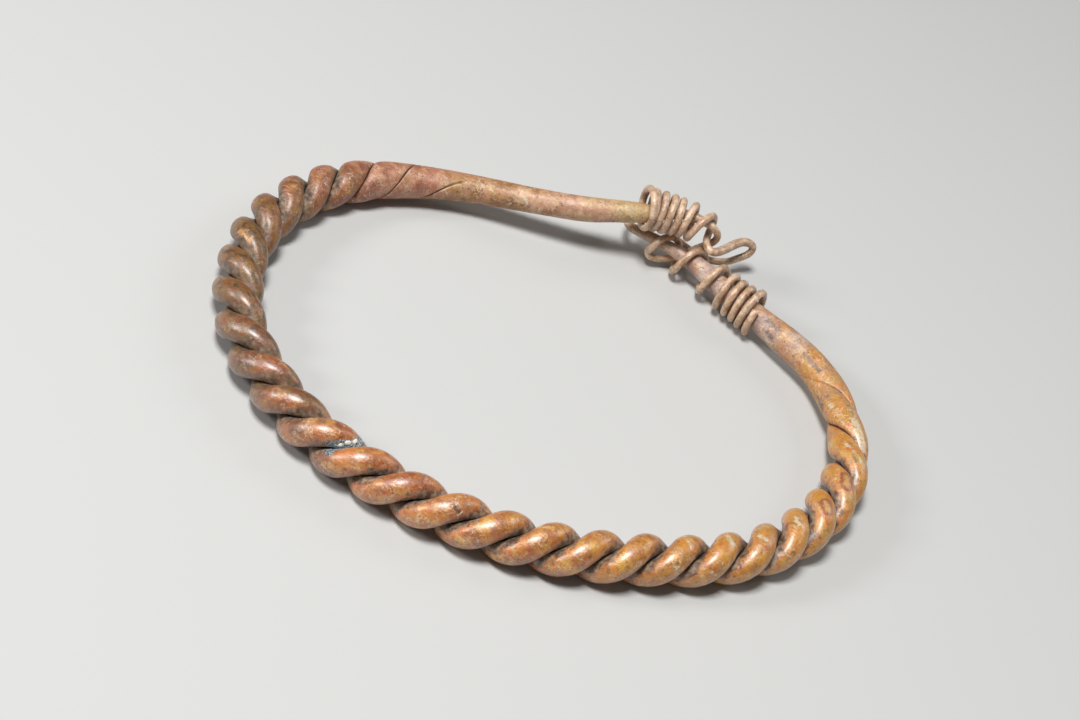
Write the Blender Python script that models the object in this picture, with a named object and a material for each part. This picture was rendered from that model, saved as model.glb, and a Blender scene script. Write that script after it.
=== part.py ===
"""A bronze bracelet made from one bar.

The bar is twisted like a two-strand rope round the front of the hoop and runs out into two
plain round stems at the back. Each stem is drawn out into a thin wire, and each wire is
wound round the other stem, so that the bracelet closes with two coils and a loop of wire.
The bracelet lies flat, with the clasp at the back (+Y).
"""
import math

import bmesh
import bpy
import numpy as np

MM = 0.001

# Sizes of the hoop, measured along the middle of the bar
HOOP_WIDTH = 73.8 * MM
HOOP_DEPTH = 62.6 * MM
BAR_WIDTH = 5.8 * MM        # across both strands
STRAND_BREADTH = 4.1 * MM   # across one strand
GROOVE_WIDTH = 2.0 * MM     # from groove floor to groove floor
HALF_LEAD = 5.3 * MM        # length of bar in which one strand takes the other's place
WIRE_WIDTH = 0.95 * MM

# Where the grooves run out and the twist loosens, measured from the clasp end of each stem
LEFT_PLAIN = 30.0 * MM
LEFT_FADE = 18.0 * MM
RIGHT_PLAIN = 7.0 * MM
RIGHT_FADE = 29.0 * MM
LEFT_SLACK = 33.0 * MM      # the twist loosens from here towards the clasp
RIGHT_SLACK = 38.0 * MM
LEFT_LOOSENING = 130.68 * MM    # what the half lead gains up to the clasp end of the stem
RIGHT_LOOSENING = 8.664 * MM
TWIST_START = math.radians(-235.0)

# Share of the hoop from the left stem, and how many degrees the uneven twist runs ahead there
TWIST_DRIFT = (
    (0.19, -12.0),
    (0.24, 22.0),
    (0.35, 18.0),
    (0.42, -12.0),
    (0.58, -18.0),
    (0.66, -3.0),
    (0.74, 8.0),
    (0.82, 0.0),
    (0.95, -10.0),
)

# Mesh steps
BAR_SIDES = 16
WIRE_SIDES = 8
STEPS_PER_HALF_LEAD = 6
STEM_STEP = 1.8 * MM
WIRE_STEP = 1.3 * MM
BRIDGE_RADIUS = 0.545 * MM  # bar sections above this, wire sections below

# Middle line of the hoop: x in half widths, y in half depths, height in bar widths,
# and the half thickness of the bar in bar widths
HOOP_COURSE = (
    (-0.283, 0.738, 0.500, 0.276),
    (-0.466, 0.633, 0.276, 0.286),
    (-0.650, 0.526, 0.086, 0.314),
    (-0.813, 0.371, 0.000, 0.380),
    (-0.939, 0.157, 0.000, 0.462),
    (-0.999, -0.124, 0.000, 0.500),
    (-0.956, -0.451, 0.000, 0.505),
    (-0.809, -0.737, 0.000, 0.505),
    (-0.617, -0.921, 0.000, 0.500),
    (-0.325, -1.042, 0.000, 0.500),
    (-0.050, -1.046, 0.000, 0.500),
    (0.233, -0.971, 0.000, 0.500),
    (0.496, -0.812, 0.000, 0.500),
    (0.731, -0.573, 0.000, 0.500),
    (0.916, -0.284, 0.000, 0.500),
    (0.998, 0.102, 0.000, 0.497),
    (0.959, 0.412, 0.000, 0.450),
    (0.837, 0.645, 0.000, 0.383),
    (0.669, 0.796, 0.000, 0.353),
)

# The clasp is measured from its own middle, which lies behind the hoop's middle.
# Its lengths are millimetres for a wire of 0.95 mm, and they grow with the wire.
CLASP_UNIT = WIRE_WIDTH / 0.95
CLASP_PLACE = 0.945         # y in half depths
WIRE_RADIUS = WIRE_WIDTH / 2 / CLASP_UNIT

# Right stem from the hoop to its tip: x, y, height, radius
RIGHT_STEM = (
    (18.95, -3.00, 0.00, 1.87),
    (15.30, -2.30, 0.00, 1.66),
    (11.40, -1.60, 0.00, 1.48),
    (7.95, -0.90, 0.00, 1.38),
    (4.65, -0.10, 0.10, 1.24),
    (2.55, -0.10, 0.20, 1.05),
    (1.00, -0.20, 0.30, 0.88),
    (-0.20, -0.35, 0.30, 0.82),
    (-1.40, -0.45, 0.30, 0.80),
    (-2.90, -0.60, 0.30, 0.72),
    (-3.90, -0.80, 0.30, 0.66),
    (-4.90, -0.95, 0.30, 0.62),
    (-5.85, -0.95, 0.30, 0.58),
)

# Left stem from the bend of its wire back to the hoop, through the upper coil
LEFT_STEM = (
    (-1.95, -2.00, -0.75, 0.475),
    (-1.60, -2.00, -1.25, 0.475),
    (-0.80, -1.25, -1.60, 0.475),
    (0.05, -0.45, -1.55, 0.475),
    (0.70, 0.15, -1.20, 0.475),
    (1.20, 0.65, -0.90, 0.475),
    (1.70, 1.15, -0.50, 0.475),
    (2.20, 1.60, 0.10, 0.475),
    (2.75, 2.05, 0.80, 0.475),
    (3.35, 2.35, 1.50, 0.475),
    (3.95, 2.50, 2.20, 0.475),
    (4.40, 2.50, 3.00, 0.475),
    (4.55, 2.40, 3.80, 0.475),
    (4.45, 2.10, 4.50, 0.475),
    (4.10, 1.75, 5.10, 0.480),
    (3.50, 1.60, 5.40, 0.500),
    (2.75, 1.55, 5.45, 0.540),
    (1.20, 1.30, 5.40, 0.620),
    (-0.30, 0.75, 5.25, 0.680),
    (-1.20, 0.25, 5.05, 0.780),
    (-2.20, -0.50, 4.80, 0.920),
    (-3.15, -1.35, 4.60, 1.080),
    (-4.10, -2.30, 4.40, 1.240),
    (-6.85, -4.20, 3.80, 1.470),
)

# Wire that the right stem runs out into: under the left stem, back along the clasp,
# out in a loop, and up to the upper coil
RIGHT_WIRE = (
    (-6.45, -0.50, 0.30, 0.530),
    (-6.95, 0.50, 0.30, 0.490),
    (-7.05, 1.70, 0.30, 0.475),
    (-6.00, 2.75, 0.30, 0.475),
    (-3.40, 3.05, 0.10, 0.475),
    (-1.00, 3.00, -0.30, 0.475),
    (1.00, 3.10, -0.70, 0.475),
    (2.90, 3.30, -0.95, 0.475),
    (4.60, 3.95, -1.00, 0.475),
    (6.35, 5.55, -0.90, 0.475),
    (7.20, 6.95, -0.50, 0.475),
    (7.80, 7.60, 0.05, 0.475),
    (8.10, 8.05, 0.60, 0.480),
    (8.10, 8.30, 1.15, 0.490),
    (7.75, 8.15, 1.65, 0.520),
    (7.10, 7.35, 2.05, 0.560),
    (6.70, 6.30, 2.30, 0.590),
    (6.35, 4.70, 2.45, 0.600),
    (6.05, 2.85, 2.60, 0.600),
    (5.65, 1.20, 2.75, 0.560),
    (5.05, 0.35, 2.95, 0.530),
    (4.25, 0.60, 3.10, 0.500),
    (3.60, 1.65, 3.15, 0.480),
)

# Coil on the right stem: turn, place along the stem's x, ease between wire and stem
LOWER_COIL = (
    (-0.12, -1.60, 0.60),
    (0.10, -0.85, 0.12),
    (0.25, -0.15, 0.18),
    (0.37, 0.35, 0.45),
    (0.50, 0.95, 1.08),
    (0.63, 1.55, 1.15),
    (0.75, 2.10, 0.85),
    (1.25, 3.90, 0.24),
    (1.75, 6.40, 0.45),
    (2.25, 7.80, 0.40),
    (2.75, 9.35, 0.35),
    (3.25, 9.65, 0.42),
    (3.75, 10.80, 0.28),
    (4.25, 11.00, 0.42),
    (4.75, 12.00, 0.24),
    (5.25, 12.25, 0.44),
    (5.75, 13.15, 0.26),
    (6.25, 13.70, 0.80),
    (6.75, 14.45, 0.30),
    (7.03, 14.55, 0.27),
)

# Middle line of the coil on the left stem, from the open end to the loop: x, y, height
UPPER_AXIS = (
    (-5.55, -3.30, 4.80),
    (-4.45, -2.15, 4.80),
    (-3.30, -1.15, 4.80),
    (-1.45, -0.10, 4.80),
    (0.45, 0.70, 4.80),
    (2.35, 1.05, 4.80),
    (3.95, 1.25, 4.80),
)

# Coil on the left stem: turn, place along its middle line, radius
UPPER_COIL = (
    (-0.50, 10.30, 1.98),
    (-0.25, 10.00, 1.95),
    (0.25, 8.30, 2.08),
    (0.75, 7.60, 2.18),
    (1.25, 6.85, 2.08),
    (1.75, 6.10, 2.16),
    (2.25, 5.65, 2.15),
    (2.37, 5.50, 2.04),
    (2.50, 5.30, 2.08),
    (2.75, 5.00, 2.28),
    (3.25, 4.40, 2.34),
    (3.75, 3.85, 2.31),
    (4.25, 3.05, 2.30),
    (4.75, 2.75, 2.39),
    (5.25, 1.70, 2.38),
    (5.50, 1.95, 2.39),
    (5.75, 1.75, 2.60),
    (5.95, 1.40, 3.25),
    (6.07, 1.30, 3.40),
)
FIRST_TURN_ANGLE = math.radians(139.5)
POINTS_PER_TURN = 8


def curve_through(places, values):
    """Smooth curve (natural cubic) that takes each value at its place."""
    places = np.asarray(places, float)
    values = np.asarray(values, float)
    count = len(places)
    gaps = np.diff(places)
    matrix = np.eye(count)
    bends = np.zeros_like(values)
    for i in range(1, count - 1):
        matrix[i, i - 1:i + 2] = gaps[i - 1], 2 * (gaps[i - 1] + gaps[i]), gaps[i]
        rise_after = (values[i + 1] - values[i]) / gaps[i]
        rise_before = (values[i] - values[i - 1]) / gaps[i - 1]
        bends[i] = 6 * (rise_after - rise_before)
    bends = np.linalg.solve(matrix, bends)

    def at(where):
        where = np.atleast_1d(where)
        i = np.clip(np.searchsorted(places, where) - 1, 0, count - 2)
        gap = gaps[i][:, None]
        before = (where - places[i])[:, None]
        after = (places[i + 1] - where)[:, None]
        bend = (bends[i] * after ** 3 + bends[i + 1] * before ** 3) / (6 * gap)
        line = (values[i] / gap - bends[i] * gap / 6) * after
        line = line + (values[i + 1] / gap - bends[i + 1] * gap / 6) * before
        return bend + line

    return at


def chord_places(points, power=1.0):
    """Running distance along a list of points."""
    steps = np.linalg.norm(np.diff(points[:, :3], axis=0), axis=1) ** power
    return np.concatenate([[0.0], np.cumsum(steps)])


def ease_in_out(share):
    share = np.clip(share, 0.0, 1.0)
    return share * share * (3 - 2 * share)


def clasp_points(rows):
    """Rows of x, y, height and radius in clasp lengths, placed behind the hoop."""
    points = np.asarray(rows, float) * CLASP_UNIT
    points[:, 1] += CLASP_PLACE * HOOP_DEPTH / 2
    return points


def hoop_points():
    scale = (HOOP_WIDTH / 2, HOOP_DEPTH / 2, BAR_WIDTH, BAR_WIDTH)
    return np.asarray(HOOP_COURSE, float) * scale


def turn_places(knots):
    """Turn numbers from the first to the last knot, a fixed number to the turn."""
    first = knots[0][0]
    last = knots[-1][0]
    count = round((last - first) * POINTS_PER_TURN)
    return np.linspace(first, last, count + 1)


def lower_coil():
    """Left-handed coil on the right stem, from its free end to the first turn."""
    stem = np.asarray(RIGHT_STEM[::-1], float)
    knots = np.asarray(LOWER_COIL, float)
    course = curve_through(knots[:, 0], knots[:, 1:])
    turns = turn_places(LOWER_COIL)[::-1]
    rows = []
    for turn, (along, ease) in zip(turns, course(turns)):
        middle = np.interp(along, stem[:, 0], stem[:, 1])
        height = np.interp(along, stem[:, 0], stem[:, 2])
        radius = np.interp(along, stem[:, 0], stem[:, 3]) + WIRE_RADIUS + ease
        angle = FIRST_TURN_ANGLE - turn * 2 * math.pi
        away = middle + radius * math.cos(angle)
        rows.append((along, away, height + radius * math.sin(angle), WIRE_RADIUS))
    return clasp_points(rows)


def upper_coil():
    """Left-handed coil on the left stem, from the loop to its free end."""
    axis = np.asarray(UPPER_AXIS, float)
    middle = curve_through(chord_places(axis), axis)
    knots = np.asarray(UPPER_COIL, float)
    course = curve_through(knots[:, 0], knots[:, 1:])
    turns = turn_places(UPPER_COIL)
    rows = []
    for turn, (along, radius) in zip(turns, course(turns)):
        centre, ahead = middle([along, along + 0.1])
        heading = math.atan2(ahead[1] - centre[1], ahead[0] - centre[0])
        angle = FIRST_TURN_ANGLE + turn * 2 * math.pi
        away = radius * math.cos(angle)
        x = centre[0] - away * math.sin(heading)
        y = centre[1] + away * math.cos(heading)
        rows.append((x, y, centre[2] + radius * math.sin(angle), WIRE_RADIUS))
    return clasp_points(rows)


def bracelet_line():
    """Middle line and radius from one wire end to the other, and where the hoop lies on it."""
    parts = [lower_coil(), clasp_points(LEFT_STEM), hoop_points(), clasp_points(RIGHT_STEM),
             clasp_points(RIGHT_WIRE), upper_coil()]
    points = np.vstack(parts)
    places = chord_places(points, 0.5)
    line = curve_through(places, points)
    left_end = len(parts[0]) + len(parts[1]) - 2
    right_end = len(parts[0]) + len(parts[1]) + len(parts[2]) + 1
    fine = np.linspace(0.0, places[-1], 40 * len(places))
    lengths = chord_places(line(fine))
    hoop_start = np.interp(places[left_end], fine, lengths)
    hoop_end = np.interp(places[right_end], fine, lengths)

    def at(length):
        return line(np.interp(length, lengths, fine))

    return at, lengths[-1], hoop_start, hoop_end


def half_lead(from_left, from_right):
    """Half lead of the twist, which loosens towards both stems."""
    left = max(0.0, 1 - from_left / LEFT_SLACK)
    right = max(0.0, 1 - from_right / RIGHT_SLACK)
    return HALF_LEAD + LEFT_LOOSENING * left ** 2 + RIGHT_LOOSENING * right ** 2


def twist_share(from_left, from_right):
    """How far the section is two-stranded: 0 on the plain stems, 1 on the rope."""
    left = ease_in_out((from_left - LEFT_PLAIN) / LEFT_FADE)
    right = ease_in_out((from_right - RIGHT_PLAIN) / RIGHT_FADE)
    return left * right


def twist_drift(from_left, from_right):
    """How far the uneven twist runs ahead of its even turning."""
    share = from_left / (from_left + from_right)
    return math.radians(np.interp(share, *np.transpose(TWIST_DRIFT)))


def strand_outline(angle):
    """Reach of the two-strand section at an angle from the line through both strands."""
    half_breadth = STRAND_BREADTH / 2
    floor = min(GROOVE_WIDTH / 2, 0.95 * half_breadth)
    offset_share = math.sqrt(1 - (floor / half_breadth) ** 2)
    strand_reach = BAR_WIDTH / 2 / (1 + offset_share)
    offset = offset_share * strand_reach
    cosine = abs(math.cos(angle))
    sine = math.sin(angle)
    a = (cosine / strand_reach) ** 2 + (sine / half_breadth) ** 2
    b = offset * cosine / strand_reach ** 2
    c = offset_share ** 2 - 1
    return (b + math.sqrt(b * b - a * c)) / a


def stations(at, total, hoop_start, hoop_end):
    """Places along the line for the mesh rings, close together on the twist."""
    places = []
    place = 0.0
    while place < total:
        places.append(place)
        from_left = place - hoop_start
        from_right = hoop_end - place
        if twist_share(from_left, from_right) > 0.02:
            place += min(STEM_STEP, half_lead(from_left, from_right) / STEPS_PER_HALF_LEAD)
        elif at(place)[0, 3] > BRIDGE_RADIUS:
            place += STEM_STEP
        else:
            place += WIRE_STEP
    places[-1] = total
    return np.array(places)


def carried_frames(centres):
    """Tangents and two cross directions that don't roll, level at the front of the hoop."""
    tangents = np.gradient(centres, axis=0)
    tangents /= np.linalg.norm(tangents, axis=1)[:, None]
    count = len(centres)
    front = int(np.argmin(centres[:, 1]))
    sides = np.zeros_like(centres)
    sides[front] = np.cross(tangents[front], (0.0, 0.0, 1.0))
    for step, stop in ((1, count), (-1, -1)):
        for i in range(front + step, stop, step):
            side = sides[i - step]
            side = side - tangents[i] * np.dot(side, tangents[i])
            sides[i] = side / np.linalg.norm(side)
    ups = np.cross(sides, tangents)
    return sides, ups


def section(radius, share, phase, sides):
    """Outline of the bar or wire as offsets across its middle line."""
    outline = []
    for i in range(sides):
        angle = 2 * math.pi * i / sides
        stranded = strand_outline(angle) * radius / (BAR_WIDTH / 2)
        reach = radius + share * (stranded - radius)
        outline.append((reach * math.cos(angle + phase), reach * math.sin(angle + phase)))
    return outline


def join_rings(mesh, ring, following):
    """Triangles between two rings along the twist, also where sixteen sides become eight."""
    if len(ring) < len(following):
        ring, following = following, ring
    count = len(following)
    if len(ring) == count:
        for i in range(count):
            j = (i + 1) % count
            mesh.faces.new((ring[i], ring[j], following[i]))
            mesh.faces.new((ring[j], following[j], following[i]))
        return
    for i in range(count):
        j = (i + 1) % count
        first, middle, last = ring[2 * i], ring[2 * i + 1], ring[2 * j]
        mesh.faces.new((first, middle, following[i]))
        mesh.faces.new((middle, following[j], following[i]))
        mesh.faces.new((middle, last, following[j]))


def bracelet_mesh():
    """One closed skin along the whole line, capped at both wire ends."""
    at, total, hoop_start, hoop_end = bracelet_line()
    places = stations(at, total, hoop_start, hoop_end)
    values = at(places)
    centres = values[:, :3]
    side_directions, up_directions = carried_frames(centres)
    mesh = bmesh.new()
    rings = []
    even_turning = TWIST_START
    for i, place in enumerate(places):
        from_left = place - hoop_start
        from_right = hoop_end - place
        share = twist_share(from_left, from_right)
        if from_left > 0 and from_right > 0:
            step = place - places[i - 1]
            halfway = half_lead(from_left - step / 2, from_right + step / 2)
            even_turning += math.pi * step / halfway
        phase = even_turning + twist_drift(from_left, from_right)
        radius = values[i, 3]
        sides = BAR_SIDES if radius > BRIDGE_RADIUS else WIRE_SIDES
        ring = []
        for across, up in section(radius, share, phase, sides):
            corner = centres[i] + across * side_directions[i] + up * up_directions[i]
            ring.append(mesh.verts.new(corner))
        if rings:
            join_rings(mesh, rings[-1], ring)
        rings.append(ring)
    mesh.faces.new(rings[0])
    mesh.faces.new(rings[-1])
    bmesh.ops.recalc_face_normals(mesh, faces=mesh.faces)
    return mesh


def set_down(mesh):
    """Move the bracelet so that it lies on z = 0 with its middle over the origin."""
    corners = np.array([vertex.co for vertex in mesh.verts])
    low = corners.min(axis=0)
    high = corners.max(axis=0)
    shift = (-(low[0] + high[0]) / 2, -(low[1] + high[1]) / 2, -low[2])
    bmesh.ops.translate(mesh, verts=mesh.verts, vec=shift)


def bronze_material():
    material = bpy.data.materials.new("patinated_bronze")
    material.use_nodes = True
    shader = material.node_tree.nodes["Principled BSDF"]
    shader.inputs["Base Color"].default_value = (0.36, 0.17, 0.07, 1.0)
    shader.inputs["Metallic"].default_value = 0.75
    shader.inputs["Roughness"].default_value = 0.42
    return material


def build():
    for old in list(bpy.data.objects):
        bpy.data.objects.remove(old, do_unlink=True)
    collection = bpy.data.collections.new("coiled_bracelet")
    bpy.context.scene.collection.children.link(collection)
    skin = bracelet_mesh()
    set_down(skin)
    data = bpy.data.meshes.new("twisted_bracelet")
    skin.to_mesh(data)
    skin.free()
    data.shade_smooth()
    data.set_sharp_from_angle(angle=math.radians(50))
    data.materials.append(bronze_material())
    bracelet = bpy.data.objects.new("twisted_bracelet", data)
    collection.objects.link(bracelet)


build()
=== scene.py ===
"""Twisted bronze bracelet with a coiled clasp, lying on a pale floor.

The bracelet is one fine skin swept along the same line as the CAD solid that it replaces. The
twist has two strands with a deep groove between them, and the skin carries the dents, pits
and grime of a worn, buried and polished bronze.
"""

import math

import bpy
import numpy as np
from mathutils import Matrix, Vector, noise
from mathutils.bvhtree import BVHTree


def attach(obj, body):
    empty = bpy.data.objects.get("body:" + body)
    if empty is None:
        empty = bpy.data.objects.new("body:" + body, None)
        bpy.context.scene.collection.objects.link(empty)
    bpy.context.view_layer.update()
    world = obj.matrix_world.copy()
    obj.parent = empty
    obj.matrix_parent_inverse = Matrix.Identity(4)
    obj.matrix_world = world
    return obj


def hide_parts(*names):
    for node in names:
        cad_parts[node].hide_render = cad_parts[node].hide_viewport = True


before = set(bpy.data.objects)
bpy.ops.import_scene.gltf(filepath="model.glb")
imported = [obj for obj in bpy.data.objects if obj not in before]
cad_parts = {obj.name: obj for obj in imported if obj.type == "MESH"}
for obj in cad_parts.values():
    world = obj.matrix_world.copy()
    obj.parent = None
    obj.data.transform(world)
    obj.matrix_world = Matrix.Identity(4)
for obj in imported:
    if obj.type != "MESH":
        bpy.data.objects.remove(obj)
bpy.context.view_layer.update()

MM = 0.001
NODE = "twisted_bracelet"

# Sizes of the hoop, measured along the middle of the bar
HOOP_WIDTH = 73.8 * MM
HOOP_DEPTH = 62.6 * MM
BAR_WIDTH = 5.8 * MM        # across both strands
STRAND_BREADTH = 4.1 * MM   # across one strand
GROOVE_WIDTH = 2.0 * MM     # from groove floor to groove floor
HALF_LEAD = 5.3 * MM        # length of bar in which one strand takes the other's place
WIRE_WIDTH = 0.95 * MM

# Where the grooves run out and the twist loosens, measured from the clasp end of each stem
LEFT_PLAIN = 30.0 * MM
LEFT_FADE = 18.0 * MM
RIGHT_PLAIN = 7.0 * MM
RIGHT_FADE = 29.0 * MM
LEFT_SLACK = 33.0 * MM      # the twist loosens from here towards the clasp
RIGHT_SLACK = 38.0 * MM
LEFT_LOOSENING = 130.68 * MM    # what the half lead gains up to the clasp end of the stem
RIGHT_LOOSENING = 8.664 * MM
TWIST_START = math.radians(-235.0)

# Share of the hoop from the left stem, and how many degrees the uneven twist runs ahead there
TWIST_DRIFT = (
    (0.19, -12.0),
    (0.24, 22.0),
    (0.35, 18.0),
    (0.42, -12.0),
    (0.58, -18.0),
    (0.66, -3.0),
    (0.74, 8.0),
    (0.82, 0.0),
    (0.95, -10.0),
)

# The sharp crease at the bottom of each groove, which runs on past the grooves' own ends
CREASE_DEPTH = 0.30 * MM
CREASE_WIDTH = 0.14 * MM
LEFT_CREASE = 19.0 * MM     # where the creases begin, from the clasp end of each stem
RIGHT_CREASE = 8.0 * MM
CREASE_FADE = 11.0 * MM
SHOULDER_WEAR = 0.10 * MM   # how far both sides of each strand are worn back

# Mesh steps
BAR_SIDES = 72
WIRE_SIDES = 20
BAR_STEP = 0.22 * MM
WIRE_STEP = 0.27 * MM
GROOVE_CROWDING = 0.5       # how much closer the corners stand at the grooves
BRIDGE_RADIUS = 0.545 * MM  # bar sections above this, wire sections below
LINE_STEPS = 40             # steps to each point of the line, for measuring its length
AHEAD = 0.1                 # clasp length from a place to the one that its heading points to
SMALLEST = 1e-12            # keeps a mark with no length from dividing by zero

# Relief of the worn surface: waves to the millimetre, and height in millimetres
DENTS = (0.22, 0.070)
RIPPLES = (0.80, 0.012)
SURFACE_GRAIN = (2.60, 0.007)
CRUST = (2.00, 0.050)       # in the grooves alone
PIT_WAVES = 0.80
PIT_REACH = 0.26            # in cells of the pattern that sets the pits' places
PIT_SLOPE = 0.80
PITTED_WAVES = 0.35         # patches of the metal that have pits
PITTED_PLACE = Vector((7.0, 3.0, 1.0))
WIRE_DENTS_LOST = 0.8       # share of the dents' height that the thin wires lack
WIRE_PITS_LOST = 0.7

# Relief of the marks, in millimetres
CRYSTAL_HEIGHT = 0.10
GRAIN_HEIGHT = 0.38
NICK_DEPTH = 0.16
LEDGE_DEPTH = 0.12

# Radii between which the metal's colours change from the bar's to the wire's
BAR_COLOUR_RADIUS = 1.25 * MM
WIRE_COLOUR_RADIUS = 0.60 * MM

# Middle line of the hoop: x in half widths, y in half depths, height in bar widths,
# and the half thickness of the bar in bar widths
HOOP_COURSE = (
    (-0.283, 0.738, 0.500, 0.276),
    (-0.466, 0.633, 0.276, 0.286),
    (-0.650, 0.526, 0.086, 0.314),
    (-0.813, 0.371, 0.000, 0.380),
    (-0.939, 0.157, 0.000, 0.462),
    (-0.999, -0.124, 0.000, 0.500),
    (-0.956, -0.451, 0.000, 0.505),
    (-0.809, -0.737, 0.000, 0.505),
    (-0.617, -0.921, 0.000, 0.500),
    (-0.325, -1.042, 0.000, 0.500),
    (-0.050, -1.046, 0.000, 0.500),
    (0.233, -0.971, 0.000, 0.500),
    (0.496, -0.812, 0.000, 0.500),
    (0.731, -0.573, 0.000, 0.500),
    (0.916, -0.284, 0.000, 0.500),
    (0.998, 0.102, 0.000, 0.497),
    (0.959, 0.412, 0.000, 0.450),
    (0.837, 0.645, 0.000, 0.383),
    (0.669, 0.796, 0.000, 0.353),
)

# The clasp is measured from its own middle, which lies behind the hoop's middle.
# Its lengths are millimetres for a wire of 0.95 mm, and they grow with the wire.
CLASP_UNIT = WIRE_WIDTH / 0.95
CLASP_PLACE = 0.945         # y in half depths
WIRE_RADIUS = WIRE_WIDTH / 2 / CLASP_UNIT

# Right stem from the hoop to its tip: x, y, height, radius
RIGHT_STEM = (
    (18.95, -3.00, 0.00, 1.87),
    (15.30, -2.30, 0.00, 1.66),
    (11.40, -1.60, 0.00, 1.48),
    (7.95, -0.90, 0.00, 1.38),
    (4.65, -0.10, 0.10, 1.24),
    (2.55, -0.10, 0.20, 1.05),
    (1.00, -0.20, 0.30, 0.88),
    (-0.20, -0.35, 0.30, 0.82),
    (-1.40, -0.45, 0.30, 0.80),
    (-2.90, -0.60, 0.30, 0.72),
    (-3.90, -0.80, 0.30, 0.66),
    (-4.90, -0.95, 0.30, 0.62),
    (-5.85, -0.95, 0.30, 0.58),
)

# Left stem from the bend of its wire back to the hoop, through the upper coil
LEFT_STEM = (
    (-1.95, -2.00, -0.75, 0.475),
    (-1.60, -2.00, -1.25, 0.475),
    (-0.80, -1.25, -1.60, 0.475),
    (0.05, -0.45, -1.55, 0.475),
    (0.70, 0.15, -1.20, 0.475),
    (1.20, 0.65, -0.90, 0.475),
    (1.70, 1.15, -0.50, 0.475),
    (2.20, 1.60, 0.10, 0.475),
    (2.75, 2.05, 0.80, 0.475),
    (3.35, 2.35, 1.50, 0.475),
    (3.95, 2.50, 2.20, 0.475),
    (4.40, 2.50, 3.00, 0.475),
    (4.55, 2.40, 3.80, 0.475),
    (4.45, 2.10, 4.50, 0.475),
    (4.10, 1.75, 5.10, 0.480),
    (3.50, 1.60, 5.40, 0.500),
    (2.75, 1.55, 5.45, 0.540),
    (1.20, 1.30, 5.40, 0.620),
    (-0.30, 0.75, 5.25, 0.680),
    (-1.20, 0.25, 5.05, 0.780),
    (-2.20, -0.50, 4.80, 0.920),
    (-3.15, -1.35, 4.60, 1.080),
    (-4.10, -2.30, 4.40, 1.240),
    (-6.85, -4.20, 3.80, 1.470),
)

# Wire that the right stem runs out into: under the left stem, back along the clasp,
# out in a loop, and up to the upper coil
RIGHT_WIRE = (
    (-6.45, -0.50, 0.30, 0.530),
    (-6.95, 0.50, 0.30, 0.490),
    (-7.05, 1.70, 0.30, 0.475),
    (-6.00, 2.75, 0.30, 0.475),
    (-3.40, 3.05, 0.10, 0.475),
    (-1.00, 3.00, -0.30, 0.475),
    (1.00, 3.10, -0.70, 0.475),
    (2.90, 3.30, -0.95, 0.475),
    (4.60, 3.95, -1.00, 0.475),
    (6.35, 5.55, -0.90, 0.475),
    (7.20, 6.95, -0.50, 0.475),
    (7.80, 7.60, 0.05, 0.475),
    (8.10, 8.05, 0.60, 0.480),
    (8.10, 8.30, 1.15, 0.490),
    (7.75, 8.15, 1.65, 0.520),
    (7.10, 7.35, 2.05, 0.560),
    (6.70, 6.30, 2.30, 0.590),
    (6.35, 4.70, 2.45, 0.600),
    (6.05, 2.85, 2.60, 0.600),
    (5.65, 1.20, 2.75, 0.560),
    (5.05, 0.35, 2.95, 0.530),
    (4.25, 0.60, 3.10, 0.500),
    (3.60, 1.65, 3.15, 0.480),
)

# Coil on the right stem: turn, place along the stem's x, ease between wire and stem
LOWER_COIL = (
    (-0.12, -1.60, 0.60),
    (0.10, -0.85, 0.12),
    (0.25, -0.15, 0.18),
    (0.37, 0.35, 0.45),
    (0.50, 0.95, 1.08),
    (0.63, 1.55, 1.15),
    (0.75, 2.10, 0.85),
    (1.25, 3.90, 0.24),
    (1.75, 6.40, 0.45),
    (2.25, 7.80, 0.40),
    (2.75, 9.35, 0.35),
    (3.25, 9.65, 0.42),
    (3.75, 10.80, 0.28),
    (4.25, 11.00, 0.42),
    (4.75, 12.00, 0.24),
    (5.25, 12.25, 0.44),
    (5.75, 13.15, 0.26),
    (6.25, 13.70, 0.80),
    (6.75, 14.45, 0.30),
    (7.03, 14.55, 0.27),
)

# Middle line of the coil on the left stem, from the open end to the loop: x, y, height
UPPER_AXIS = (
    (-5.55, -3.30, 4.80),
    (-4.45, -2.15, 4.80),
    (-3.30, -1.15, 4.80),
    (-1.45, -0.10, 4.80),
    (0.45, 0.70, 4.80),
    (2.35, 1.05, 4.80),
    (3.95, 1.25, 4.80),
)

# Coil on the left stem: turn, place along its middle line, radius
UPPER_COIL = (
    (-0.50, 10.30, 1.98),
    (-0.25, 10.00, 1.95),
    (0.25, 8.30, 2.08),
    (0.75, 7.60, 2.18),
    (1.25, 6.85, 2.08),
    (1.75, 6.10, 2.16),
    (2.25, 5.65, 2.15),
    (2.37, 5.50, 2.04),
    (2.50, 5.30, 2.08),
    (2.75, 5.00, 2.28),
    (3.25, 4.40, 2.34),
    (3.75, 3.85, 2.31),
    (4.25, 3.05, 2.30),
    (4.75, 2.75, 2.39),
    (5.25, 1.70, 2.38),
    (5.50, 1.95, 2.39),
    (5.75, 1.75, 2.60),
    (5.95, 1.40, 3.25),
    (6.07, 1.30, 3.40),
)
FIRST_TURN_ANGLE = math.radians(139.5)
POINTS_PER_TURN = 8

# Camera, in the picture's pixels: 1080 wide, with the focal length in pixels
PICTURE_WIDTH = 1080
PICTURE_HEIGHT = 720
FOCAL_PIXELS = 2000
CAMERA_DISTANCE = 236 * MM
CAMERA_AZIMUTH = math.radians(17.5)
CAMERA_ELEVATION = math.radians(40.5)
CAMERA_ROLL = math.radians(22.5)
CAMERA_AIM = Vector((-0.34, -3.66, 2.95)) * MM
CAMERA_NEAREST = 5 * MM
SENSOR_WIDTH = 36.0         # the camera's own unit, millimetres of film

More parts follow.
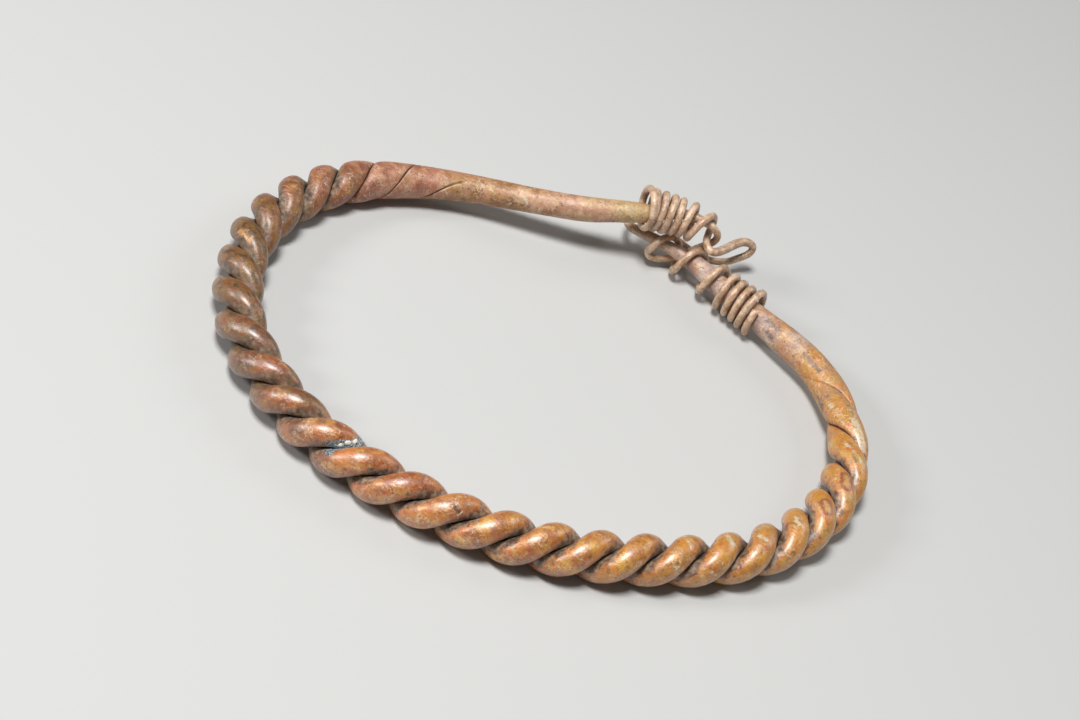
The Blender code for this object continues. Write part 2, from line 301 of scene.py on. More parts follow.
# Floor and light: each light's name, place and size in metres, and power in watts
FLOOR_SIZE = 4.0
FLOOR_COLOUR = (0.50, 0.50, 0.49, 1.0)
FLOOR_ROUGHNESS = 0.8
LIGHTS = (
    ("key_light", (-0.06, -0.14, 0.50), 0.14, 3.0),
    ("left_light", (-0.42, -0.30, 0.30), 0.14, 1.3),
    ("back_light", (0.30, 0.45, 0.40), 0.30, 0.8),
)
AMBIENT_COLOUR = (0.84, 0.83, 0.81, 1.0)
AMBIENT_STRENGTH = 0.14

# Marks on the bracelet: from one pixel of the picture to another, and the reach in millimetres
MARKS = {
    "rings": [((847, 477), (847, 485), 0.85), ((826, 503), (828, 510), 0.75)],
    "pale": [((854, 420), (863, 450), 0.75), ((846, 444), (862, 462), 0.35),
             ((672, 558), (676, 569), 0.22), ((670, 568), (679, 567), 0.20),
             ((711, 572), (716, 575), 0.22), ((728, 536), (732, 544), 0.45),
             ((688, 541), (691, 548), 0.25), ((452, 506), (456, 504), 0.20),
             ((457, 516), (462, 512), 0.20), ((762, 345), (766, 340), 0.40),
             ((795, 518), (800, 524), 0.42), ((760, 536), (767, 540), 0.38),
             ((524, 197), (527, 203), 0.30)],
    "dark": [((768, 320), (779, 330), 0.55), ((766, 332), (772, 338), 0.45),
             ((803, 353), (819, 370), 0.45), ((817, 396), (823, 410), 0.45),
             ((832, 386), (850, 398), 0.18), ((500, 199), (530, 207), 0.20),
             ((848, 442), (856, 462), 0.30)],
    "ledge": [((520, 192), (524, 203), 0.55), ((524, 203), (508, 214), 0.45)],
    "gold": [((240, 231), (250, 240), 0.50)],
    "crystals": [((330, 451), (363, 443), 0.95)],
    "grains": [((347, 444), (348, 444), 0.34), ((354, 443), (355, 442), 0.30),
               ((339, 447), (341, 446), 0.26), ((364, 445), (365, 445), 0.22)],
    "nicks": [((344, 469), (345, 470), 0.28), ((407, 494), (408, 495), 0.28),
              ((455, 507), (459, 512), 0.32), ((430, 516), (436, 519), 0.16)],
}

# Where the colours of the metal change, as shares of the hoop from the left stem
STRETCHES = (0.0, 0.05, 0.10, 0.16, 0.22, 0.30, 0.425, 0.50, 0.66, 0.86, 0.94, 1.0)

# Tints of the metal at those places: red, green and blue from 0 to 255
TINTS = {
    "main": [(190, 160, 112), (192, 150, 120), (166, 120, 70), (178, 126, 100),
             (148, 90, 54), (122, 80, 32), (118, 68, 44), (184, 110, 48),
             (192, 126, 36), (190, 130, 38), (180, 128, 52), (180, 152, 136)],
    "second": [(176, 140, 92), (180, 130, 108), (140, 100, 52), (168, 110, 88),
               (128, 68, 44), (100, 66, 24), (100, 54, 44), (152, 80, 38),
               (164, 104, 46), (194, 148, 64), (162, 118, 92), (164, 138, 132)],
    "accent": [(206, 180, 136), (206, 170, 142), (176, 138, 84), (196, 142, 118),
               (178, 122, 58), (158, 112, 38), (154, 114, 66), (204, 152, 80),
               (210, 162, 70), (204, 116, 44), (202, 140, 60), (200, 180, 164)],
    "red": [(182, 132, 104), (178, 120, 102), (130, 78, 44), (150, 88, 72),
            (126, 66, 50), (100, 60, 42), (98, 52, 46), (150, 62, 34),
            (160, 76, 38), (192, 84, 38), (178, 98, 66), (172, 132, 120)],
    "rim": [(178, 148, 104), (178, 132, 104), (152, 98, 60), (160, 106, 80),
            (146, 90, 60), (120, 80, 48), (118, 76, 54), (196, 102, 42),
            (200, 110, 44), (210, 118, 42), (208, 128, 60), (190, 152, 132)],
}

# Patches of noise on the metal: waves to the millimetre, detail, roughness and place of the
# noise, and its values where the patches begin and where they are full
PATCHES = {
    "second": (0.45, 4.0, 0.55, 11.0, 0.43, 0.57),
    "accent": (0.65, 5.0, 0.60, 37.0, 0.49, 0.63),
    "red": (0.80, 6.0, 0.65, 53.0, 0.54, 0.62),
    "cloud": (0.50, 3.0, 0.50, 97.0, 0.46, 0.60),
    "speck": (4.50, 4.0, 0.70, 17.0, 0.575, 0.625),
    "grey": (1.00, 6.0, 0.70, 131.0, 0.55, 0.64),
    "crazed": (0.55, 4.0, 0.60, 151.0, 0.52, 0.60),
    "dust": (3.40, 6.0, 0.75, 29.0, 0.57, 0.64),
    "shade": (0.60, 4.0, 0.60, 173.0, 0.42, 0.60),
}

# Deposits among the marks: nearness where each begins and is full, strength and tint
DEPOSITS = {
    "dark": (0.00, 0.90, 0.75, (92, 84, 80)),
    "pale": (0.05, 0.75, 0.80, (204, 194, 168)),
    "gold": (0.20, 0.80, 0.60, (216, 146, 50)),
}

# Stretches of the hoop: where each begins, is full, starts to fade and ends
DUSTY = (0.16, 0.28, 0.40, 0.52)
SHADED = (0.22, 0.32, 0.42, 0.48)
POLISHED = (0.10, 0.44, 0.74, 1.02)

# Gloss and fine relief of the bronze
COAT_ROUGHNESS = 0.34
COAT_IOR = 1.65
SPECULAR_LEVEL = 0.75
COARSE_BUMP = 0.07 * MM
FINE_BUMP = 0.06 * MM

# Places of a mix node's colour sockets, which share their names with its other sockets
MIX_SHARE = 0
MIX_FIRST = 6
MIX_SECOND = 7
MIX_RESULT = 2


def curve_through(places, values):
    """Smooth curve (natural cubic) that takes each value at its place."""
    places = np.asarray(places, float)
    values = np.asarray(values, float)
    count = len(places)
    gaps = np.diff(places)
    matrix = np.eye(count)
    bends = np.zeros_like(values)
    for i in range(1, count - 1):
        matrix[i, i - 1:i + 2] = gaps[i - 1], 2 * (gaps[i - 1] + gaps[i]), gaps[i]
        rise_after = (values[i + 1] - values[i]) / gaps[i]
        rise_before = (values[i] - values[i - 1]) / gaps[i - 1]
        bends[i] = 6 * (rise_after - rise_before)
    bends = np.linalg.solve(matrix, bends)

    def at(where):
        where = np.atleast_1d(where)
        i = np.clip(np.searchsorted(places, where) - 1, 0, count - 2)
        gap = gaps[i][:, None]
        before = (where - places[i])[:, None]
        after = (places[i + 1] - where)[:, None]
        bend = (bends[i] * after ** 3 + bends[i + 1] * before ** 3) / (6 * gap)
        line = (values[i] / gap - bends[i] * gap / 6) * after
        line = line + (values[i + 1] / gap - bends[i + 1] * gap / 6) * before
        return bend + line

    return at


def chord_places(points, power=1.0):
    """Running distance along a list of points."""
    steps = np.linalg.norm(np.diff(points[:, :3], axis=0), axis=1) ** power
    return np.concatenate([[0.0], np.cumsum(steps)])


def ease_in_out(share):
    share = np.clip(share, 0.0, 1.0)
    return share * share * (3 - 2 * share)


def clasp_points(rows):
    """Rows of x, y, height and radius in clasp lengths, placed behind the hoop."""
    points = np.asarray(rows, float) * CLASP_UNIT
    points[:, 1] += CLASP_PLACE * HOOP_DEPTH / 2
    return points


def hoop_points():
    scale = (HOOP_WIDTH / 2, HOOP_DEPTH / 2, BAR_WIDTH, BAR_WIDTH)
    return np.asarray(HOOP_COURSE, float) * scale


def turn_places(knots):
    """Turn numbers from the first to the last knot, a fixed number to the turn."""
    first = knots[0][0]
    last = knots[-1][0]
    count = round((last - first) * POINTS_PER_TURN)
    return np.linspace(first, last, count + 1)


def lower_coil():
    """Left-handed coil on the right stem, from its free end to the first turn."""
    stem = np.asarray(RIGHT_STEM[::-1], float)
    knots = np.asarray(LOWER_COIL, float)
    course = curve_through(knots[:, 0], knots[:, 1:])
    turns = turn_places(LOWER_COIL)[::-1]
    rows = []
    for turn, (along, ease) in zip(turns, course(turns)):
        middle = np.interp(along, stem[:, 0], stem[:, 1])
        height = np.interp(along, stem[:, 0], stem[:, 2])
        radius = np.interp(along, stem[:, 0], stem[:, 3]) + WIRE_RADIUS + ease
        angle = FIRST_TURN_ANGLE - turn * 2 * math.pi
        away = middle + radius * math.cos(angle)
        rows.append((along, away, height + radius * math.sin(angle), WIRE_RADIUS))
    return clasp_points(rows)


def upper_coil():
    """Left-handed coil on the left stem, from the loop to its free end."""
    axis = np.asarray(UPPER_AXIS, float)
    middle = curve_through(chord_places(axis), axis)
    knots = np.asarray(UPPER_COIL, float)
    course = curve_through(knots[:, 0], knots[:, 1:])
    turns = turn_places(UPPER_COIL)
    rows = []
    for turn, (along, radius) in zip(turns, course(turns)):
        centre, ahead = middle([along, along + AHEAD])
        heading = math.atan2(ahead[1] - centre[1], ahead[0] - centre[0])
        angle = FIRST_TURN_ANGLE + turn * 2 * math.pi
        away = radius * math.cos(angle)
        x = centre[0] - away * math.sin(heading)
        y = centre[1] + away * math.cos(heading)
        rows.append((x, y, centre[2] + radius * math.sin(angle), WIRE_RADIUS))
    return clasp_points(rows)


def bracelet_line():
    """Middle line and radius from one wire end to the other, and where the hoop lies on it.

    The hoop's stretch starts one point before the left stem's last and ends one point after
    the right stem's first.
    """
    parts = [lower_coil(), clasp_points(LEFT_STEM), hoop_points(), clasp_points(RIGHT_STEM),
             clasp_points(RIGHT_WIRE), upper_coil()]
    points = np.vstack(parts)
    places = chord_places(points, 0.5)
    line = curve_through(places, points)
    left_end = len(parts[0]) + len(parts[1]) - 2
    right_end = len(parts[0]) + len(parts[1]) + len(parts[2]) + 1
    fine = np.linspace(0.0, places[-1], LINE_STEPS * len(places))
    lengths = chord_places(line(fine))
    hoop_start = np.interp(places[left_end], fine, lengths)
    hoop_end = np.interp(places[right_end], fine, lengths)

    def at(length):
        return line(np.interp(length, lengths, fine))

    return at, lengths[-1], hoop_start, hoop_end


def half_lead(from_left, from_right):
    """Half lead of the twist, which loosens towards both stems."""
    left = np.maximum(0.0, 1 - from_left / LEFT_SLACK)
    right = np.maximum(0.0, 1 - from_right / RIGHT_SLACK)
    return HALF_LEAD + LEFT_LOOSENING * left ** 2 + RIGHT_LOOSENING * right ** 2


def twist_share(from_left, from_right):
    """How far the section is two-stranded: 0 on the plain stems, 1 on the rope."""
    left = ease_in_out((from_left - LEFT_PLAIN) / LEFT_FADE)
    right = ease_in_out((from_right - RIGHT_PLAIN) / RIGHT_FADE)
    return left * right


def twist_drift(share):
    """How far the uneven twist runs ahead of its even turning."""
    return np.radians(np.interp(share, *np.transpose(TWIST_DRIFT)))


def crease_share(from_left, from_right):
    """How sharp the crease is: 0 on the plain stems, 1 on the rope."""
    left = ease_in_out((from_left - LEFT_CREASE) / CREASE_FADE)
    right = ease_in_out((from_right - RIGHT_CREASE) / CREASE_FADE)
    return left * right


def strand_outline(angle):
    """Reach of the two-strand section at an angle from the line through both strands."""
    half_breadth = STRAND_BREADTH / 2
    floor = GROOVE_WIDTH / 2
    offset_share = math.sqrt(1 - (floor / half_breadth) ** 2)
    strand_reach = BAR_WIDTH / 2 / (1 + offset_share)
    offset = offset_share * strand_reach
    cosine = np.abs(np.cos(angle))
    sine = np.sin(angle)
    a = (cosine / strand_reach) ** 2 + (sine / half_breadth) ** 2
    b = offset * cosine / strand_reach ** 2
    c = offset_share ** 2 - 1
    return (b + np.sqrt(b * b - a * c)) / a


def stations(at, total):
    """Places along the line for the mesh rings: closer together on the bar than on the wires."""
    places = []
    place = 0.0
    while place < total:
        places.append(place)
        place += BAR_STEP if at(place)[0, 3] > BRIDGE_RADIUS else WIRE_STEP
    places[-1] = total
    return np.array(places)


def carried_frames(centres):
    """Two directions across the line that don't roll, level at the front of the hoop."""
    tangents = np.gradient(centres, axis=0)
    tangents /= np.linalg.norm(tangents, axis=1)[:, None]
    count = len(centres)
    front = int(np.argmin(centres[:, 1]))
    sides = np.zeros_like(centres)
    sides[front] = np.cross(tangents[front], (0.0, 0.0, 1.0))
    for step, stop in ((1, count), (-1, -1)):
        for i in range(front + step, stop, step):
            side = sides[i - step]
            side = side - tangents[i] * np.dot(side, tangents[i])
            sides[i] = side / np.linalg.norm(side)
    ups = np.cross(sides, tangents)
    return sides, ups


def join_rings(first, second):
    """Outward triangles between two rings of corners, which may have unlike counts.

    The rings turn clockwise, seen with the line coming towards the eye.
    """
    faces = []
    i = 0
    j = 0
    while i < len(first) or j < len(second):
        step_first = (i + 1) / len(first) <= (j + 1) / len(second)
        if j == len(second) or (i < len(first) and step_first):
            following = (i + 1) % len(first)
            faces.append((first[following], first[i], second[j % len(second)]))
            i += 1
        else:
            following = (j + 1) % len(second)
            faces.append((first[i % len(first)], second[j], second[following]))
            j += 1
    return faces


def camera_axes():
    """Right, up and backward directions of the camera, rolled as in the picture."""
    flat = Vector((math.sin(CAMERA_AZIMUTH), -math.cos(CAMERA_AZIMUTH), 0.0))
    level_right = Vector((math.cos(CAMERA_AZIMUTH), math.sin(CAMERA_AZIMUTH), 0.0))
    back = flat * math.cos(CAMERA_ELEVATION) + Vector((0, 0, math.sin(CAMERA_ELEVATION)))
    level_up = back.cross(level_right)
    right = level_right * math.cos(CAMERA_ROLL) + level_up * math.sin(CAMERA_ROLL)
    up = level_up * math.cos(CAMERA_ROLL) - level_right * math.sin(CAMERA_ROLL)
    return right, up, back


def seen_at(tree, pixel):
    """Place on the bracelet that shows at a pixel of the picture, or lies next to it."""
    right, up, back = camera_axes()
    across = (pixel[0] - PICTURE_WIDTH / 2) / FOCAL_PIXELS
    rise = (PICTURE_HEIGHT / 2 - pixel[1]) / FOCAL_PIXELS
    direction = (right * across + up * rise - back).normalized()
    origin = CAMERA_AIM + back * CAMERA_DISTANCE
    hit = tree.ray_cast(origin, direction)[0]
    return hit or tree.find_nearest(origin + direction * CAMERA_DISTANCE)[0]


def ring_angles(sides):
    """Angles of the corners round one ring, crowded at the two grooves."""
    even = 2 * math.pi * np.arange(sides) / sides
    return even + GROOVE_CROWDING / 2 * np.sin(2 * even)


def section_reach(angles, radius, share):
    """Reach of the section at each angle: round at share 0, two worn strands at share 1."""
    stranded = strand_outline(angles) * radius / (BAR_WIDTH / 2)
    worn = stranded - SHOULDER_WEAR * np.sin(2 * angles) ** 2
    return radius + share * (worn - radius)


def twist_angles(places, from_left, from_right):
    """Angle of the even twist at each place, which turns on the hoop alone."""
    steps = np.diff(places)
    turning = math.pi * steps / half_lead(from_left[1:] - steps / 2, from_right[1:] + steps / 2)
    turning[(from_left[1:] <= 0) | (from_right[1:] <= 0)] = 0.0
    return TWIST_START + np.concatenate([[0.0], np.cumsum(turning)])


def wire_share(radius):
    """0 where the metal has the bar's colours, 1 where it has the wire's."""
    return ease_in_out((BAR_COLOUR_RADIUS - radius) / (BAR_COLOUR_RADIUS - WIRE_COLOUR_RADIUS))


def swept_skin():
    """Corners, outward directions, faces and surface values of the skin along the line."""
    at, total, hoop_start, hoop_end = bracelet_line()
    places = stations(at, total)
    values = at(places)
    centres = values[:, :3]
    radii = values[:, 3]
    side_directions, up_directions = carried_frames(centres)
    from_left = places - hoop_start
    from_right = hoop_end - places
    share_along = np.clip(from_left / (hoop_end - hoop_start), 0.0, 1.0)
    shares = twist_share(from_left, from_right)
    creasing = crease_share(from_left, from_right)
    phases = twist_angles(places, from_left, from_right) + twist_drift(share_along)
    corners = []
    outward = []
    fields = {"hollow": [], "crease": [], "along": [], "wire": []}
    rings = []
    count = 0
    for i, radius in enumerate(radii):
        sides = BAR_SIDES if radius > BRIDGE_RADIUS else WIRE_SIDES
        angles = ring_angles(sides)
        reach = section_reach(angles, radius, shares[i])
        crease = creasing[i] * np.exp(-(reach * np.cos(angles) / CREASE_WIDTH) ** 2)
        turned = angles + phases[i]
        direction = (np.cos(turned)[:, None] * side_directions[i]
                     + np.sin(turned)[:, None] * up_directions[i])
        rings.append(range(count, count + sides))
        count += sides
        corners.append(centres[i] + (reach - crease * CREASE_DEPTH)[:, None] * direction)
        outward.append(direction)
        fields["hollow"].append((radius - reach) / (BAR_WIDTH / 2 - GROOVE_WIDTH / 2))
        fields["crease"].append(crease)
        fields["along"].append(np.full(sides, share_along[i]))
        fields["wire"].append(np.full(sides, wire_share(radius)))
    faces = [tuple(rings[0]), tuple(reversed(rings[-1]))]
    for first, second in zip(rings, rings[1:]):
        faces.extend(join_rings(first, second))
    fields = {name: np.concatenate(parts) for name, parts in fields.items()}
    return np.vstack(corners), np.vstack(outward), faces, fields


def rise(spot, waves, height):
    """Smooth noise with so many waves to the millimetre."""
    return noise.noise(spot * waves) * height


def relief(corner, wire, hollow):
    """Height of the worn surface over the swept skin, in millimetres."""
    spot = Vector(corner) / MM
    dents = rise(spot, *DENTS) + rise(spot, *RIPPLES)
    cell = noise.voronoi(spot * PIT_WAVES)[0][0]
    pitted = max(0.0, noise.noise(spot * PITTED_WAVES + PITTED_PLACE))
    pit = max(0.0, PIT_REACH - cell) * pitted * PIT_SLOPE
    dents = dents * (1 - WIRE_DENTS_LOST * wire)
    pit = pit * (1 - WIRE_PITS_LOST * wire)
    return dents - pit + rise(spot, *SURFACE_GRAIN) + hollow * rise(spot, *CRUST)


def mark_relief(fields):
    """Height of the marks, in millimetres: crystals and grains up, nicks and the ledge down."""
    crystals = np.clip(fields["crystals"] * 2, 0, 1) * fields["hollow"]
    grains = np.sqrt(np.clip(fields["grains"], 0, 1))
    nicks = np.clip(fields["nicks"] * 2, 0, 1)
    ledge = np.clip(fields["ledge"], 0, 1)
    raised = CRYSTAL_HEIGHT * crystals + GRAIN_HEIGHT * grains
    return raised - NICK_DEPTH * nicks - LEDGE_DEPTH * ledge


def set_down(corners):
    """Lay the bracelet on z = 0 with its middle over the origin."""
    low = corners.min(axis=0)
    high = corners.max(axis=0)
    return corners - ((low[0] + high[0]) / 2, (low[1] + high[1]) / 2, low[2])


def nearness(corners, tree, marks):
    """1 on the line of the nearest mark, 0 at its edge, and down to -1 away from it."""
    field = np.full(len(corners), -1.0)
    for start, end, reach in marks:
        first = np.array(seen_at(tree, start))
        course = np.array(seen_at(tree, end)) - first
        squared = max(np.dot(course, course), SMALLEST)
        share = np.clip((corners - first) @ course / squared, 0.0, 1.0)
        away = np.linalg.norm(corners - first - share[:, None] * course, axis=1)
        field = np.maximum(field, 1 - away / (reach * MM))
    return field


def bracelet_skin():
    """The bracelet's mesh, with its relief and the values that its finish reads."""
    corners, outward, faces, fields = swept_skin()
    corners = set_down(corners)
    tree = BVHTree.FromPolygons(corners.tolist(), faces)
    for name, marks in MARKS.items():
        fields[name] = nearness(corners, tree, marks)
    heights = np.array([relief(corner, wire, hollow) for corner, wire, hollow
                        in zip(corners, fields["wire"], fields["hollow"])])
    heights += mark_relief(fields)
    corners = corners + outward * heights[:, None] * MM
    corners[:, 2] -= corners[:, 2].min()
    data = bpy.data.meshes.new("bracelet")
    data.from_pydata(corners.tolist(), [], faces)
    for name, values in fields.items():
        layer = data.attributes.new(name, "FLOAT", "POINT")
        layer.data.foreach_set("value", values.astype(np.float32))
    data.shade_smooth()
    data.update()
    bracelet = bpy.data.objects.new("bracelet", data)
    bpy.context.scene.collection.objects.link(bracelet)
    return bracelet


class Finish:
    """Adds nodes to one material, in millimetres of the object's own space."""

    def __init__(self, name):
        self.material = bpy.data.materials.new(name)
        self.material.use_nodes = True
        self.tree = self.material.node_tree
        self.shader = self.tree.nodes["Principled BSDF"]
        place = self.tree.nodes.new("ShaderNodeTexCoord")
        self.place = self.vector("SCALE", place.outputs["Object"], 1.0 / MM)

    def give(self, socket, value):
        """Link a socket to a node's output, or set it to a plain value."""
        if isinstance(value, bpy.types.NodeSocket):
            self.tree.links.new(value, socket)
        else:
            socket.default_value = value

    def field(self, name):
        """One of the surface values that the mesh carries."""
        node = self.tree.nodes.new("ShaderNodeAttribute")
        node.attribute_name = name
        return node.outputs["Fac"]

    def vector(self, operation, first, second):
        """Sum or product of two vectors, or a vector scaled by a number."""
        node = self.tree.nodes.new("ShaderNodeVectorMath")
        node.operation = operation
        self.give(node.inputs[0], first)
        self.give(node.inputs["Scale" if operation == "SCALE" else 1], second)
        return node.outputs["Vector"]

    def noise_node(self, where, scale, detail, roughness):
        node = self.tree.nodes.new("ShaderNodeTexNoise")
        self.give(node.inputs["Vector"], where)
        node.inputs["Scale"].default_value = scale
        node.inputs["Detail"].default_value = detail
        node.inputs["Roughness"].default_value = roughness
        return node

    def noise(self, scale, detail, roughness, offset=0.0):
        """Even noise; each offset gives a pattern of its own."""
        shifted = self.vector("ADD", self.place, (offset, offset * 0.7, offset * 1.3))
        return self.noise_node(shifted, scale, detail, roughness).outputs["Fac"]

    def streaks(self):
        """Noise drawn out into fine rubbed streaks."""
        drawn_out = self.vector("MULTIPLY", self.place, (0.5, 3.2, 1.4))
        return self.noise_node(drawn_out, 1.6, 4.0, 0.5).outputs["Fac"]

    def cracks(self):
        """Distance from the edges of small warped cells, in cell widths."""
        tangle = self.noise_node(self.place, 1.5, 2.0, 0.5).outputs["Color"]
        warp = self.vector("SCALE", tangle, 1.6)
        node = self.tree.nodes.new("ShaderNodeTexVoronoi")
        node.feature = "DISTANCE_TO_EDGE"
        node.inputs["Scale"].default_value = 1.3
        self.give(node.inputs["Vector"], self.vector("ADD", self.place, warp))
        return node.outputs["Distance"]

    def maths(self, operation, first, second):
        node = self.tree.nodes.new("ShaderNodeMath")
        node.operation = operation
        self.give(node.inputs[0], first)
        self.give(node.inputs[1], second)
        return node.outputs[0]

    def plus(self, first, second):
        return self.maths("ADD", first, second)

    def minus(self, first, second):
        return self.maths("SUBTRACT", first, second)

    def times(self, first, second):
        return self.maths("MULTIPLY", first, second)

    def swing(self, value, factor):
        """How far noise lies from its middle, one half, times a factor."""
        return self.times(self.minus(value, 0.5), factor)

    def total(self, base, *parts):
        """The base, and each part's value times its factor."""
        for value, factor in parts:
            base = self.plus(self.times(value, factor), base)
        return base

    def window(self, value, low, high):
        """0 at low and 1 at high, eased in between."""
        node = self.tree.nodes.new("ShaderNodeMapRange")
        node.interpolation_type = "SMOOTHSTEP"
        self.give(node.inputs["Value"], value)
        node.inputs["From Min"].default_value = low
        node.inputs["From Max"].default_value = high
        return node.outputs["Result"]

    def patches(self, name):
        """1 in the named patches of noise and 0 between them."""
        *kind, begin, full = PATCHES[name]
        return self.window(self.noise(*kind), begin, full)

    def stretch(self, zone, begin, full, fade, end):
        """1 on a stretch of the hoop and 0 away from it."""
        return self.times(self.window(zone, begin, full), self.window(zone, end, fade))

    def mix(self, share, first, second):
        node = self.tree.nodes.new("ShaderNodeMix")
        node.data_type = "RGBA"
        self.give(node.inputs[MIX_SHARE], share)
        self.give(node.inputs[MIX_FIRST], first)
        self.give(node.inputs[MIX_SECOND], second)
        return node.outputs[MIX_RESULT]

    def tinted(self, body, share, strength, tint):
        """The body with a tint over it, at most as strong as given."""
        return self.mix(self.times(share, strength), body, tint)

    def ramp(self, value, stops):
        """Tints, in picture values, at their places on a ramp."""
        node = self.tree.nodes.new("ShaderNodeValToRGB")
        self.give(node.inputs["Fac"], value)
        elements = node.color_ramp.elements
        for element, (place, tint) in ((elements[0], stops[0]), (elements[-1], stops[-1])):
            element.position = place
            element.color = colour(*tint)
        for place, tint in stops[1:-1]:
            elements.new(place).color = colour(*tint)
        return node.outputs["Color"]

    def along_hoop(self, zone, name):
        """Named tints from the left stem by the clasp round to the right one."""
        return self.ramp(zone, list(zip(STRETCHES, TINTS[name])))

    def bump(self, height, distance, after=None):
        node = self.tree.nodes.new("ShaderNodeBump")
        self.give(node.inputs["Height"], height)
        node.inputs["Distance"].default_value = distance
        if after is not None:
            self.give(node.inputs["Normal"], after)
        return node.outputs["Normal"]


def colour(red, green, blue):
    """Linear colour from the values that a picture shows, 0 to 255."""
    return tuple((part / 255) ** 2.2 for part in (red, green, blue)) + (1.0,)


def metal_colour(finish, zone, wire):
    """Worn bronze: broad stretches of tint along the hoop, mottled in patches."""
    main = finish.along_hoop(zone, "main")
    second = finish.along_hoop(zone, "second")
    body = finish.mix(finish.patches("second"), main, second)
    accent = finish.along_hoop(zone, "accent")
    body = finish.tinted(body, finish.patches("accent"), 0.75, accent)
    wire_body = finish.ramp(finish.noise(0.9, 5.0, 0.6, 3.0), [
        (0.42, (170, 136, 106)), (0.50, (198, 164, 134)), (0.58, (216, 184, 156))])
    return finish.mix(wire, body, wire_body)


def stained(finish, body, zone, hollow):
    """Red-brown clouds, stains that thicken near the grooves, specks, fine cracks and dust."""
    red = finish.along_hoop(zone, "red")
    body = finish.tinted(body, finish.patches("red"), 0.55, red)
    stain = finish.plus(finish.noise(1.3, 7.0, 0.72, 71.0), finish.times(hollow, 0.16))
    stain = finish.window(stain, 0.565, 0.640)
    body = finish.tinted(body, stain, 0.58, colour(82, 68, 54))
    cloud = finish.patches("cloud")
    speck = finish.times(finish.patches("speck"), finish.plus(cloud, 0.25))
    body = finish.tinted(body, speck, 0.75, colour(58, 44, 34))
    body = finish.tinted(body, finish.patches("grey"), 0.34, colour(134, 122, 108))
    crack = finish.times(finish.window(finish.cracks(), 0.075, 0.02), finish.patches("crazed"))
    body = finish.tinted(body, crack, 0.60, colour(220, 200, 170))
    streak = finish.window(finish.streaks(), 0.56, 0.66)
    body = finish.tinted(body, streak, 0.35, colour(216, 178, 138))
    dust = finish.times(finish.patches("dust"), finish.minus(1.0, cloud))
    return finish.tinted(body, dust, 0.38, colour(222, 188, 142))


def grimy(finish, body, zone, hollow):
    """Rusty rims and grey grime in the grooves; also gives where the grime lies."""
    dusty = finish.stretch(zone, *DUSTY)
    edge = finish.plus(hollow, finish.swing(finish.noise(1.2, 6.0, 0.70, 83.0), 1.9))
    edge = finish.plus(edge, finish.times(dusty, 0.05))
    rust = finish.window(edge, 0.14, 0.32)
    body = finish.tinted(body, rust, 0.55, finish.along_hoop(zone, "rim"))
    grime = finish.window(edge, 0.28, 0.52)
    paleness = finish.plus(finish.noise(1.5, 4.0, 0.6, 61.0), finish.times(dusty, 0.03))
    grime_colour = finish.ramp(paleness, [
        (0.40, (56, 48, 42)), (0.50, (102, 88, 74)), (0.62, (152, 134, 110))])
    return finish.tinted(body, grime, 0.88, grime_colour), grime


def shaded(finish, body, zone):
    """Darker metal in olive, brown and red clouds at the back left."""
    share = finish.plus(finish.times(finish.patches("shade"), 0.30), 0.38)
    tint = finish.ramp(finish.noise(0.9, 5.0, 0.65, 191.0), [
        (0.42, (58, 38, 20)), (0.50, (120, 86, 20)), (0.59, (116, 54, 26))])
    return finish.mix(finish.times(finish.stretch(zone, *SHADED), share), body, tint)


def marked(finish, body, fine):
    """The marks of this bracelet: dark, pale and gold deposits, rings, crystals and nicks."""
    ragged = finish.swing(fine, 4.0)
    for name, (begin, full, strength, tint) in DEPOSITS.items():
        deposit = finish.window(finish.plus(finish.field(name), ragged), begin, full)
        body = finish.tinted(body, deposit, strength, colour(*tint))
    ringed = finish.plus(finish.field("rings"), finish.times(ragged, 0.40))
    body = finish.tinted(body, finish.window(ringed, -0.20, 0.20), 0.85, colour(134, 60, 56))
    body = finish.tinted(body, finish.window(ringed, 0.25, 0.85), 0.80, colour(204, 160, 88))
    crystals = finish.window(finish.plus(finish.field("crystals"), ragged), 0.0, 0.30)
    crystal_colour = finish.ramp(finish.noise(5.0, 3.0, 0.7, 5.0), [
        (0.40, (38, 46, 56)), (0.50, (92, 106, 116)), (0.60, (192, 202, 204))])
    body = finish.mix(crystals, body, crystal_colour)
    grains = finish.window(finish.field("grains"), 0.05, 0.35)
    body = finish.mix(grains, body, colour(230, 224, 204))
    nicks = finish.window(finish.field("nicks"), 0.05, 0.40)
    return finish.tinted(body, nicks, 0.7, colour(70, 44, 34))


def glossed(finish, zone, wire, grime, fine):
    """Gloss and fine relief: rubbed bright along the front, dull in the grime."""
    inputs = finish.shader.inputs
    polish = finish.stretch(zone, *POLISHED)
    rough = finish.total(0.20, (fine, 0.70), (polish, -0.16), (wire, -0.12), (grime, 0.30))
    finish.give(inputs["Roughness"], rough)
    finish.give(inputs["Metallic"], finish.times(finish.minus(1.0, grime), 0.08))
    finish.give(inputs["Coat Weight"], finish.total(0.06, (polish, 0.78), (wire, 0.25)))
    inputs["Coat Roughness"].default_value = COAT_ROUGHNESS
    inputs["Coat IOR"].default_value = COAT_IOR
    inputs["Specular IOR Level"].default_value = SPECULAR_LEVEL
    normal = finish.bump(finish.noise(2.0, 2.0, 0.5, 91.0), COARSE_BUMP)
    normal = finish.bump(finish.noise(5.0, 5.0, 0.6, 43.0), FINE_BUMP, normal)
    finish.give(inputs["Normal"], normal)


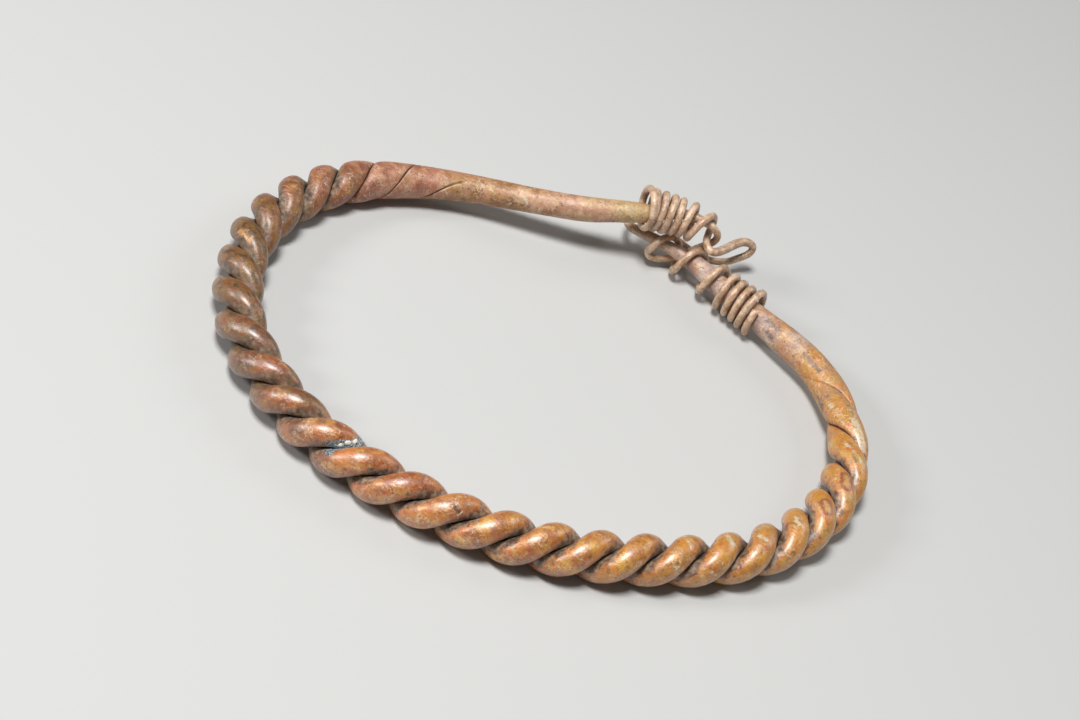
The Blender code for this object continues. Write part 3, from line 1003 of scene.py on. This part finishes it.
def bronze_finish():
    """Patinated bronze, from bare metal up to the marks of this bracelet, with painted shade in
    the creases.
    """
    finish = Finish("patinated_bronze")
    hollow = finish.field("hollow")
    wire = finish.field("wire")
    fine = finish.noise(3.0, 6.0, 0.68, 23.0)
    wander = finish.times(finish.noise(0.25, 4.0, 0.6), 0.30)
    zone = finish.minus(finish.plus(finish.field("along"), wander), 0.15)
    body = metal_colour(finish, zone, wire)
    body = stained(finish, body, zone, hollow)
    body, grime = grimy(finish, body, zone, hollow)
    body = shaded(finish, body, zone)
    # Painted shade: near-black laid along the sharp crease at the bottom of each groove, where
    # the overhanging strand shades it
    crease = finish.window(finish.field("crease"), 0.20, 0.80)
    body = finish.mix(crease, body, colour(30, 24, 20))
    body = marked(finish, body, fine)
    finish.give(finish.shader.inputs["Base Color"], body)
    glossed(finish, zone, wire, grime, fine)
    return finish.material


def pale_floor():
    bpy.ops.mesh.primitive_plane_add(size=FLOOR_SIZE, location=(0.0, 0.0, 0.0))
    floor = bpy.context.object
    floor.name = "floor"
    material = bpy.data.materials.new("pale_floor")
    material.use_nodes = True
    shader = material.node_tree.nodes["Principled BSDF"]
    shader.inputs["Base Color"].default_value = FLOOR_COLOUR
    shader.inputs["Roughness"].default_value = FLOOR_ROUGHNESS
    floor.data.materials.append(material)


def soft_light(name, place, size, power):
    """Square light that faces the bracelet."""
    data = bpy.data.lights.new(name, "AREA")
    data.size = size
    data.energy = power
    light = bpy.data.objects.new(name, data)
    light.location = place
    light.rotation_euler = (-light.location).to_track_quat("-Z", "Y").to_euler()
    bpy.context.scene.collection.objects.link(light)


def studio_light():
    for light in LIGHTS:
        soft_light(*light)
    world = bpy.data.worlds.new("studio")
    world.use_nodes = True
    background = world.node_tree.nodes["Background"]
    background.inputs["Color"].default_value = AMBIENT_COLOUR
    background.inputs["Strength"].default_value = AMBIENT_STRENGTH
    bpy.context.scene.world = world
    bpy.context.scene.view_settings.view_transform = "Standard"


def picture_camera():
    """Camera that sees the bracelet as the picture does."""
    data = bpy.data.cameras.new("camera")
    data.sensor_width = SENSOR_WIDTH
    data.lens = FOCAL_PIXELS / PICTURE_WIDTH * SENSOR_WIDTH
    data.clip_start = CAMERA_NEAREST
    camera = bpy.data.objects.new("camera", data)
    right, up, back = camera_axes()
    axes = Matrix((right, up, back)).transposed().to_4x4()
    axes.translation = CAMERA_AIM + back * CAMERA_DISTANCE
    camera.matrix_world = axes
    bpy.context.scene.collection.objects.link(camera)
    bpy.context.scene.camera = camera


picture_camera()
studio_light()
pale_floor()
bracelet = bracelet_skin()
bracelet.data.materials.append(bronze_finish())
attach(bracelet, "root")
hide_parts(NODE)
